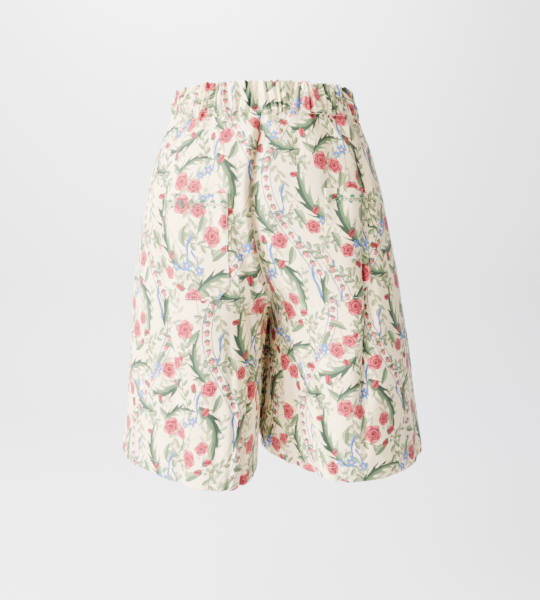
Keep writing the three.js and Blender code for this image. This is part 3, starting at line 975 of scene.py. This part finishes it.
def paintTendrils(paint, colour, place):
    # Thin waving stems
    x, y = paint.parts(place)
    for stem in printLook["tendrils"]:
        rate = 2 * math.pi * stem["waves"] / printLook["down"]
        wave = (y * rate + stem["shift"]).math("SINE") * stem["swing"] + (y * (rate * 3)).math("SINE") * 5
        off = (x - wave - stem["shift"]) / stem["pitch"]
        off = ((off - off.math("ROUND")) * stem["pitch"]).math("ABSOLUTE")
        colour = paint.mix(paint.fade(off, 0.3, 1.0) * 0.7, colour, ink["stem"])
    return colour


def paintSprays(paint, colour, cell, strength=1):
    # A bent stem with a row of small leaves down each side
    x, y, _ = nearestMotif(paint, cell, motifs["spray"])
    bent = y - (x * 1.9).math("SINE") * 0.16
    side = bent.math("ABSOLUTE")
    row = (x * 2.0 + (bent > 0) * 0.45).math("FRACT") / 2.0 - 0.12
    along = row * 0.78 + side * 0.62 - 0.2
    across = side * 0.78 - row * 0.62 - 0.05
    leaf = oval(along, 0.23, across, 0.095)
    reach = x.math("ABSOLUTE")
    inside = paint.fade(leaf, 0.75, 1.15) * paint.fade(reach, 0.86, 0.98)
    stem = paint.fade(side, 0.012, 0.04) * paint.fade(reach, 0.9, 1.0)
    green = paint.mix(paint.ramp(across, -0.04, 0.03), ink["pale"], ink["sage"])
    green = paint.mix(paint.ramp(leaf, 0.4, 0.85) * 0.6, green, ink["leaf"])
    colour = paint.mix(inside * strength, colour, green)
    return paint.mix(stem * strength, colour, ink["stem"])


def paintLeaves(paint, colour, cell):
    # Single pointed leaves, veined and paler on one side
    x, y, _ = nearestMotif(paint, cell, motifs["leaf"])
    bent = y + x * x * 0.2 - 0.07
    side = bent.math("ABSOLUTE")
    wide = (1 - x * x).math("MAXIMUM", 0) * (0.36 - x * 0.1)
    inside = paint.ramp(wide - side, -0.02, 0.03)
    vein = ((x * 5 - side * 6).math("FRACT") - 0.5).math("ABSOLUTE")
    green = paint.mix(bent > 0, ink["sage"], ink["pale"])
    green = paint.mix(paint.fade(vein, 0.05, 0.2) * 0.4, green, ink["leaf"])
    green = paint.mix(paint.fade(side, 0.02, 0.06) * 0.8, green, ink["leaf"])
    green = paint.mix(paint.fade(wide - side, 0.03, 0.08) * 0.75, green, ink["leafDeep"])
    return paint.mix(inside, colour, green)


def paintScrolls(paint, colour, cell):
    # A bent leaf with pointed lobes, dark on one side of its rib and pale on the other
    x, y, _ = nearestMotif(paint, cell, motifs["scroll"])
    bent = y + x * x * 0.34 - 0.15
    side = bent.math("ABSOLUTE")
    upper = bent > 0
    taper = (1 - x * x).math("MAXIMUM", 0).math("POWER", 0.6)
    wide = taper * (0.36 - x * 0.14) * (1.12 - upper * 0.3)
    tooth = (x * 2.05 - side * 2.3 + upper * 0.4 + 0.2).math("FRACT")
    edge = wide * (0.3 + tooth * tooth * 0.75)
    inside = paint.ramp(edge - side, -0.012, 0.02) * (x.math("ABSOLUTE") < 1)
    stalk = paint.fade(side, 0.03, 0.05) * (x.math("ABSOLUTE") < 1.1)
    rib = paint.fade(side, 0.012, 0.04)
    outwards = side / (wide + 0.01)
    dark = paint.mix(paint.ramp(outwards, 0.4, 0.85), ink["leafDeep"], ink["leaf"])
    light = paint.mix(paint.ramp(outwards, 0.2, 0.7), ink["sage"], ink["pale"])
    light = paint.mix(paint.fade(edge - side, 0.015, 0.045) * 0.6, light, ink["leaf"])
    green = paint.mix(upper, light, dark)
    green = paint.mix(rib * 0.8, green, ink["leafDeep"])
    return paint.mix(inside.math("MAXIMUM", stalk), colour, green)


def paintRibbons(paint, colour, cell):
    # Short strands of blue ribbon that narrow to their ends
    x, y, _ = nearestMotif(paint, cell, motifs["ribbon"])
    bent = y - (x * 3.2 + 0.4).math("SINE") * 0.1
    wide = (x * 4).math("SINE") * 0.02 + 0.07
    inside = paint.ramp(wide - bent.math("ABSOLUTE"), -0.015, 0.02) * (x.math("ABSOLUTE") < 0.96)
    shade = paint.ramp((bent / wide) + (x * 9).math("SINE") * 0.4, -0.6, 0.9)
    return paint.mix(inside, colour, paint.mix(shade, ink["blueDeep"], ink["blue"]))


def paintBlooms(paint, colour, cell):
    # Small blue flowers of five petals with a tan middle
    x, y, away = nearestMotif(paint, cell, motifs["bloom"])
    turn = y.math("ARCTAN2", x)
    edge = (turn * 5).math("COSINE") * 0.2 + 0.74
    inside = paint.ramp(edge - away, -0.06, 0.08)
    petal = paint.mix(paint.ramp(away, 0.15, 0.6), ink["blueDeep"], ink["blue"])
    colour = paint.mix(inside, colour, petal)
    return paint.mix(paint.fade(away, 0.18, 0.3), colour, ink["tan"])


def paintBuds(paint, colour, cell):
    # A closed rose on a bent stem, held in a green cup
    x, y, _ = nearestMotif(paint, cell, motifs["bud"])
    stem = (x + (y * 1.4).math("SINE") * 0.3).math("ABSOLUTE")
    stemMask = paint.fade(stem, 0.05, 0.16) * (y < -0.3) * (y > -2.4)
    colour = paint.mix(stemMask, colour, ink["sage"])
    cup = oval(x, 0.66, y + 0.35, 0.62)
    colour = paint.mix(paint.fade(cup, 0.8, 1.2), colour, ink["leaf"])
    petal = oval(x, 0.6, y - 0.22, 0.82)
    fold = paint.ramp((x - y * 0.35).math("ABSOLUTE"), 0.04, 0.3)
    pink = paint.mix(fold, ink["roseDeep"], ink["rose"])
    return paint.mix(paint.fade(petal, 0.8, 1.15), colour, pink)


def paintRoses(paint, colour, cell):
    # Five pale outer petals, each darker where the next one covers it, round a dark wound heart
    x, y, away = nearestMotif(paint, cell, motifs["rose"])
    turn = y.math("ARCTAN2", x) / (2 * math.pi)
    outline = (turn * (10 * math.pi) + 0.6).math("COSINE") * 0.07 + 0.92
    outline = outline + (turn * (4 * math.pi)).math("SINE") * 0.05
    fromEdge = outline - away
    inside = paint.ramp(fromEdge, -0.02, 0.04)
    swirl = (away * 3.3 + turn).math("FRACT")
    wound = paint.ramp(swirl, 0.5, 0.8) * paint.fade(swirl, 0.92, 1.0)
    petal = (turn * 5 + away * 0.45 + 0.2).math("FRACT")
    outer = paint.ramp(away, 0.5, 0.56)
    gap = paint.fade(petal, 0.03, 0.18)
    ring = paint.fade((away - 0.55 - petal * 0.08).math("ABSOLUTE"), 0.02, 0.08)
    heart = paint.fade(away, 0.06, 0.28)
    deep = (wound * (1 - outer) + gap * outer * 0.8).math("MAXIMUM", ring * 0.9).math("MAXIMUM", heart)
    pale = paint.ramp(petal, 0.1, 0.6) * outer + paint.ramp(swirl, 0.1, 0.4) * (1 - outer) * 0.45
    pink = paint.mix(pale, ink["rose"], ink["rosePale"])
    pink = paint.mix(paint.fade(fromEdge, 0.02, 0.09) * 0.5, pink, ink["roseDeep"])
    pink = paint.mix(deep, pink, ink["roseDeep"])
    return paint.mix(inside, colour, pink)


def clothPlace(paint):
    # Where a point lies on the flat cloth, in millimetres
    cloth = paint.node("ShaderNodeUVMap", {"uv_map": "cloth"})
    return paint.node("ShaderNodeVectorMath", {"operation": "SCALE"}, {"Vector": cloth, "Scale": 1000})


def weave(paint, flat):
    x, y = paint.parts(flat)
    across = (x * (2 * math.pi / printLook["warp"])).math("SINE")
    return across * (y * (2 * math.pi / printLook["weft"])).math("SINE")


def printedCotton(name):
    look = printLook
    paint = Paint(name)
    flat = clothPlace(paint)
    wobble = paint.noise(flat, 0.11, 2.0, 1)
    wobble = paint.vector("MULTIPLY_ADD", wobble, (3.2, 3.2, 0), (-1.6, -1.6, 0))
    place = paint.vector("ADD", flat, wobble)
    cell = halfDrop(paint, place, look["across"] / 4, -look["down"] / 4)
    blotch = paint.ramp(paint.noise(flat, 0.02, 3.0), 0.3, 0.75)
    colour = paint.mix(blotch * 0.35, ink["ground"], ink["shade"])
    colour = paintTendrils(paint, colour, place)
    for spray in look["moreSprays"]:
        colour = paintSprays(paint, colour, halfDrop(paint, place, *spray["shift"]), spray["strength"])
    colour = paintSprays(paint, colour, cell)
    colour = paintGarland(paint, colour, place)
    for motif in (paintLeaves, paintScrolls, paintRibbons, paintBlooms, paintBuds, paintRoses):
        colour = motif(paint, colour, cell)
    # Ink sinks a little unevenly into the weave
    worn = paint.ramp(paint.noise(flat, 0.7, 2.0), 0.35, 0.8)
    return paint.surface({
        "Base Color": paint.mix(worn * 0.014, colour, ink["ground"]),
        "Normal": paint.bump(weave(paint, flat) * 0.5 + paint.noise(flat, 0.5, 3.0) * 1.6, 0.22),
        "Roughness": 0.74 + worn * 0.08,
        "Specular IOR Level": 0.32,
        "Sheen Weight": 0.12,
        "Sheen Roughness": 0.4,
    })


def insideCotton(name):
    # The wrong side: pale, with the print's shadow only
    paint = Paint(name)
    flat = clothPlace(paint)
    green = paint.ramp(paint.noise(flat, 0.035, 3.0), 0.56, 0.66)
    pink = paint.ramp(paint.noise(paint.vector("ADD", flat, (400, 70, 0)), 0.028, 2.0), 0.62, 0.7)
    colour = paint.mix(green * 0.22, ink["inside"], ink["sage"])
    return paint.surface({
        "Base Color": paint.mix(pink * 0.2, colour, ink["rosePale"]),
        "Normal": paint.bump(weave(paint, flat), 0.25),
        "Roughness": 0.85,
        "Specular IOR Level": 0.25,
    })


def threadMaterial(name, light, dark):
    paint = Paint(name)
    place = paint.node("ShaderNodeTexCoord", None, None, 3)
    twist = paint.ramp(paint.noise(place, 900.0, 1.0), 0.35, 0.65)
    return paint.surface({
        "Base Color": paint.mix(twist, linear(*dark), linear(*light)),
        "Roughness": 0.42 + twist * 0.15,
        "Sheen Weight": 0.2,
    })


outsideCloth = printedCotton("printed cotton")
insideCloth = insideCotton("wrong side of the cotton")
creamThread = threadMaterial("cream thread", (244, 236, 218), (214, 202, 178))
greenThread = {
    "left": threadMaterial("green embroidery thread", (20, 112, 78), (10, 74, 50)),
    "right": threadMaterial("pale green embroidery thread", (42, 122, 92), (22, 88, 64)),
}
print("materials ready")

pieces = {}
for name, side, direction in (
    ("front_left", "left", 1),
    ("front_right", "right", 1),
    ("back_left", "left", -1),
    ("back_right", "right", -1),
):
    pieces[name] = makePanel(name + "_cloth", side, direction, outsideCloth, insideCloth)
print("panels ready")
pieces["waist_casing"] = makeCasing("waist_casing_cloth", outsideCloth, insideCloth)
print("casing ready")
for side in ("left", "right"):
    pieces["pocket_" + side] = makePocket("pocket_" + side + "_cloth", side, outsideCloth, insideCloth)
print("pockets ready")


# Sewing: rows of thread that follow paths over the cloth
class Growth:
    # A tree of geometry nodes that turns a path into thread, with named numbers to set
    def __init__(self, name, numbers):
        self.tree = bpy.data.node_groups.new(name, "GeometryNodeTree")
        face = self.tree.interface
        face.new_socket("Path", in_out="INPUT", socket_type="NodeSocketGeometry")
        for number in numbers:
            face.new_socket(number, in_out="INPUT", socket_type="NodeSocketFloat")
        face.new_socket("Thread", in_out="INPUT", socket_type="NodeSocketMaterial")
        face.new_socket("Sewn", in_out="OUTPUT", socket_type="NodeSocketGeometry")
        self.given = self.node("NodeGroupInput").outputs

    def node(self, kind, settings=None, inputs=None):
        made = self.tree.nodes.new(kind)
        for key, value in (settings or {}).items():
            setattr(made, key, value)
        for key, value in (inputs or {}).items():
            if isinstance(value, bpy.types.NodeSocket):
                self.tree.links.new(value, made.inputs[key])
            else:
                made.inputs[key].default_value = value
        return made

    def math(self, operation, *values):
        return self.node("ShaderNodeMath", {"operation": operation}, dict(enumerate(values))).outputs[0]

    def finish(self, geometry):
        real = self.node("GeometryNodeRealizeInstances", None, {"Geometry": geometry})
        inputs = {"Geometry": real.outputs[0], "Material": self.given["Thread"]}
        thread = self.node("GeometryNodeSetMaterial", None, inputs)
        self.node("NodeGroupOutput", None, {"Sewn": thread.outputs[0]})
        return self.tree


def stitchTree():
    # One thread bead for each stitch, turned along the path
    grow = Growth("stitch row", ["Pitch", "Length", "Width"])
    given = grow.given
    curve = grow.node("GeometryNodeMeshToCurve", None, {"Mesh": given["Path"]})
    inputs = {"Curve": curve.outputs[0], "Length": given["Pitch"]}
    points = grow.node("GeometryNodeCurveToPoints", {"mode": "LENGTH"}, inputs)
    bead = grow.node("GeometryNodeMeshIcoSphere", None, {"Radius": 0.5, "Subdivisions": 1})
    inputs = {"X": given["Width"], "Y": given["Width"], "Z": given["Length"]}
    size = grow.node("ShaderNodeCombineXYZ", None, inputs)
    shaped = grow.node("GeometryNodeTransform", None, {"Geometry": bead.outputs[0], "Scale": size.outputs[0]})
    smooth = grow.node("GeometryNodeSetShadeSmooth", None, {"Geometry": shaped.outputs[0]})
    uneven = grow.node("FunctionNodeRandomValue", {"data_type": "FLOAT"}, {2: 0.88, 3: 1.06, "Seed": 4})
    inputs = {
        "Points": points.outputs["Points"],
        "Instance": smooth.outputs[0],
        "Rotation": points.outputs["Rotation"],
        "Scale": uneven.outputs[1],
    }
    rows = grow.node("GeometryNodeInstanceOnPoints", None, inputs)
    return grow.finish(rows.outputs[0])


def satinTree():
    # Each short path becomes one plump leaf of satin stitch, pointed at both ends
    grow = Growth("satin leaf", ["Width"])
    given = grow.given
    curve = grow.node("GeometryNodeMeshToCurve", None, {"Mesh": given["Path"]})
    inputs = {"Curve": curve.outputs[0], "Count": 7}
    finer = grow.node("GeometryNodeResampleCurve", {"mode": "COUNT"}, inputs)
    along = grow.node("GeometryNodeSplineParameter")
    swell = grow.math("SINE", grow.math("MULTIPLY", along.outputs["Factor"], math.pi))
    half = grow.math("MULTIPLY", given["Width"], 0.5)
    radius = grow.math("MULTIPLY_ADD", swell, half, 0.00006)
    shaped = grow.node("GeometryNodeSetCurveRadius", None, {"Curve": finer.outputs[0], "Radius": radius})
    ring = grow.node("GeometryNodeCurvePrimitiveCircle", None, {"Resolution": 7, "Radius": 1.0})
    inputs = {
        "Curve": shaped.outputs[0],
        "Profile Curve": ring.outputs[0],
        "Scale": radius,
        "Fill Caps": True,
    }
    leaf = grow.node("GeometryNodeCurveToMesh", None, inputs)
    smooth = grow.node("GeometryNodeSetShadeSmooth", None, {"Geometry": leaf.outputs[0]})
    return grow.finish(smooth.outputs[0])


def sew(name, paths, tree, thread, numbers):
    # paths: lists of points in millimetres; the finished rows stay as plain meshes
    points = np.concatenate(paths)
    edges = []
    start = 0
    for path in paths:
        edges += [(start + k, start + k + 1) for k in range(len(path) - 1)]
        start += len(path)
    mesh = bpy.data.meshes.new(name)
    mesh.from_pydata((points / 1000).tolist(), edges, [])
    piece = bpy.data.objects.new(name, mesh)
    bpy.context.scene.collection.objects.link(piece)
    rows = piece.modifiers.new("sewing", "NODES")
    rows.node_group = tree
    for socket in tree.interface.items_tree:
        if socket.in_out == "INPUT" and socket.name in numbers:
            rows[socket.identifier] = numbers[socket.name]
        if socket.in_out == "INPUT" and socket.name == "Thread":
            rows[socket.identifier] = thread
    ready = piece.evaluated_get(bpy.context.evaluated_depsgraph_get())
    sewn = bpy.data.meshes.new_from_object(ready)
    piece.modifiers.remove(rows)
    piece.data = sewn
    sewn.name = name
    bpy.data.meshes.remove(mesh)
    return piece


sewing = {
    "stitch": {"Pitch": 0.0029, "Length": 0.0025, "Width": 0.00055},
    "running": {"Pitch": 0.0019, "Length": 0.0023, "Width": 0.0012},
    "satin": {"Width": 0.0031},
    "scallop": 5.5,
    "scallopDrop": 2.0,
    "fan": 15.0,
    "fanLength": 5.8,
}


def hemPath(side, direction):
    z, points, normal = clothSurfaces[(side, direction)]
    row = np.argmin(np.abs(z - (form["hemZ"] + panelLook["hemDepth"])))
    return points[row, 1:-1] + normal[row, 1:-1] * 0.12


def casingPath():
    turn = np.linspace(0, 2 * math.pi, 1400)
    level = np.full_like(turn, casingLook["bottom"] + 3.4)
    return casingPoint(turn, level, -0.45)


def pocketPath(side):
    outer = pocketFaces[side]["points"]
    edge = int(np.argmin(np.abs(edgeSteps - pocketLook["stitchIn"])))
    lifted = outer + pocketFaces[side]["normal"] * 0.15
    last = outer.shape[0] - 1 - edge
    down = lifted[1:last + 1, edge]
    across = lifted[last, edge + 1:-edge - 1]
    up = lifted[1:last + 1, -1 - edge][::-1]
    return np.concatenate([down, across, up])


def pocketPlace(side, across, down, lift):
    # A point on the pocket's face: millimetres from its outer edge, and down from its top
    face = pocketFaces[side]
    surface = face["points"] + face["normal"] * lift
    row = np.interp(down, face["fromTop"], np.arange(len(surface)))
    column = np.interp(across, face["place"][0], np.arange(surface.shape[1]))
    i = np.clip(row.astype(int), 0, len(surface) - 2)
    j = np.clip(column.astype(int), 0, surface.shape[1] - 2)
    s = (row - i)[..., None]
    t = (column - j)[..., None]
    upper = surface[i, j] * (1 - t) + surface[i, j + 1] * t
    lower = surface[i + 1, j] * (1 - t) + surface[i + 1, j + 1] * t
    return upper * (1 - s) + lower * s


def embroideryPaths(side):
    # A straight row with scallops under it, and fans of three leaves
    look = sewing
    width = pocketFaces[side]["width"]
    foot = pocketLook["band"]
    across = np.linspace(3, width - 3, 160)
    straight = pocketPlace(side, across, np.full_like(across, foot), 0.2)
    drop = look["scallopDrop"] * np.abs(np.sin(math.pi * across / look["scallop"])) ** 0.8
    scallops = pocketPlace(side, across, foot + 0.9 + drop, 0.2)
    fans = []
    count = max(2, int(width / look["fan"]))
    for k in range(count):
        middle = width * (k + 0.5) / count
        between = middle + look["scallop"] * 0.5
        for lean in (-48, 0, 48):
            turn = math.radians(lean)
            reach = np.linspace(0.6, look["fanLength"] * (1 if lean == 0 else 0.9), 4)
            aside = reach * math.sin(turn)
            away = reach * math.cos(turn)
            fans.append(pocketPlace(side, middle + aside, foot - 0.8 - away, 0.25))
            fans.append(pocketPlace(side, between + 0.5 * aside, foot + 3.4 + 0.55 * away, 0.25))
    return [straight, scallops], fans


stitches = stitchTree()
satin = satinTree()
threads = []
for side in ("left", "right"):
    hems = [hemPath(side, 1), hemPath(side, -1)]
    threads.append(sew("hem_stitches_" + side, hems, stitches, creamThread, sewing["stitch"]))
threads.append(sew("casing_stitches", [casingPath()], stitches, creamThread, sewing["stitch"]))
for side in ("left", "right"):
    rows, fans = embroideryPaths(side)
    green = greenThread[side]
    edge = [pocketPath(side)]
    threads.append(sew("pocket_stitches_" + side, edge, stitches, creamThread, sewing["stitch"]))
    threads.append(sew("embroidery_rows_" + side, rows, stitches, green, sewing["running"]))
    threads.append(sew("embroidery_leaves_" + side, fans, satin, green, sewing["satin"]))
for thread in threads:
    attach(thread, "root")
print("sewing ready")

for name, piece in pieces.items():
    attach(piece, "root")
    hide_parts(name)

# A pale wall and floor, soft daylight from the left
stageLook = {
    "wall": (226, 227, 232),
    "wallShade": (214, 215, 222),
    "floorZ": -1.1,
    "frontY": -3.0,
    "wallY": 2.1,
    "wallTop": 2.2,
    "wide": 5.0,
    "bend": 0.5,
    "sky": (0.93, 0.95, 1.0, 1.0),
    "skyStrength": 0.27,
}


def makeStage():
    look = stageLook
    wide = look["wide"]
    bend = look["bend"]
    start = look["wallY"] - bend
    profile = [(look["frontY"], look["floorZ"]), (start, look["floorZ"])]
    for k in range(1, 13):
        turn = math.pi / 2 * k / 12
        profile.append((start + bend * math.sin(turn), look["floorZ"] + bend * (1 - math.cos(turn))))
    profile.append((look["wallY"], look["wallTop"]))
    points = [(x * 1000, y * 1000, z * 1000) for y, z in profile for x in (-wide, wide)]
    faces = [(2 * k, 2 * k + 1, 2 * k + 3, 2 * k + 2) for k in range(len(profile) - 1)]
    paint = Paint("pale wall")
    tone = paint.noise(paint.node("ShaderNodeTexCoord", None, None, 3), 1.4, 2.0)
    colour = paint.mix(tone * 0.2, linear(*look["wall"]), linear(*look["wallShade"]))
    material = paint.surface({"Base Color": colour, "Roughness": 0.95})
    return makeMesh("backdrop", points, faces, None, [material])


makeStage()

lights = {
    "window": {
        "at": (-1.8, -1.15, 0.45),
        "aim": (0, 0, -0.28),
        "size": 0.7,
        "power": 285,
        "colour": (1.0, 0.985, 0.965),
    },
    "fill": {
        "at": (-1.15, -1.95, 0.5),
        "aim": (0, 0, -0.3),
        "size": 0.7,
        "power": 76,
        "colour": (1.0, 0.93, 0.84),
    },
    "right": {
        "at": (2.0, -0.7, 0.2),
        "aim": (0, 0, -0.25),
        "size": 0.9,
        "power": 16,
        "colour": (1.0, 0.9, 0.78),
    },
    "above": {
        "at": (-0.3, -0.7, 1.4),
        "aim": (0, 0.1, -0.3),
        "size": 0.6,
        "power": 32,
        "colour": (1.0, 0.88, 0.7),
    },
    "wall": {
        "at": (-0.5, 0.9, 1.9),
        "aim": (0.15, 2.1, -0.2),
        "size": 1.4,
        "power": 235,
        "colour": (0.94, 0.96, 1.0),
    },
}
for name, look in lights.items():
    data = bpy.data.lights.new(name, "AREA")
    data.size = look["size"]
    data.energy = look["power"]
    data.color = look["colour"]
    lamp = bpy.data.objects.new(name, data)
    lamp.location = look["at"]
    lamp.rotation_euler = (Vector(look["aim"]) - Vector(look["at"])).to_track_quat("-Z", "Y").to_euler()
    bpy.context.scene.collection.objects.link(lamp)

world = bpy.data.worlds.new("soft room")
world.use_nodes = True
sky = world.node_tree.nodes["Background"]
sky.inputs["Color"].default_value = stageLook["sky"]
sky.inputs["Strength"].default_value = stageLook["skyStrength"]
bpy.context.scene.world = world

cameraLook = {"at": (0.011, -0.93, -0.139), "down": 9.7, "lens": 35}
cameraData = bpy.data.cameras.new("camera")
cameraData.lens = cameraLook["lens"]
cameraData.sensor_width = 36
cameraData.clip_start = 0.02
camera = bpy.data.objects.new("camera", cameraData)
camera.location = cameraLook["at"]
camera.rotation_euler = (math.radians(90 - cameraLook["down"]), 0, 0)
bpy.context.scene.collection.objects.link(camera)
bpy.context.scene.camera = camera
print("stage, lights and camera ready")
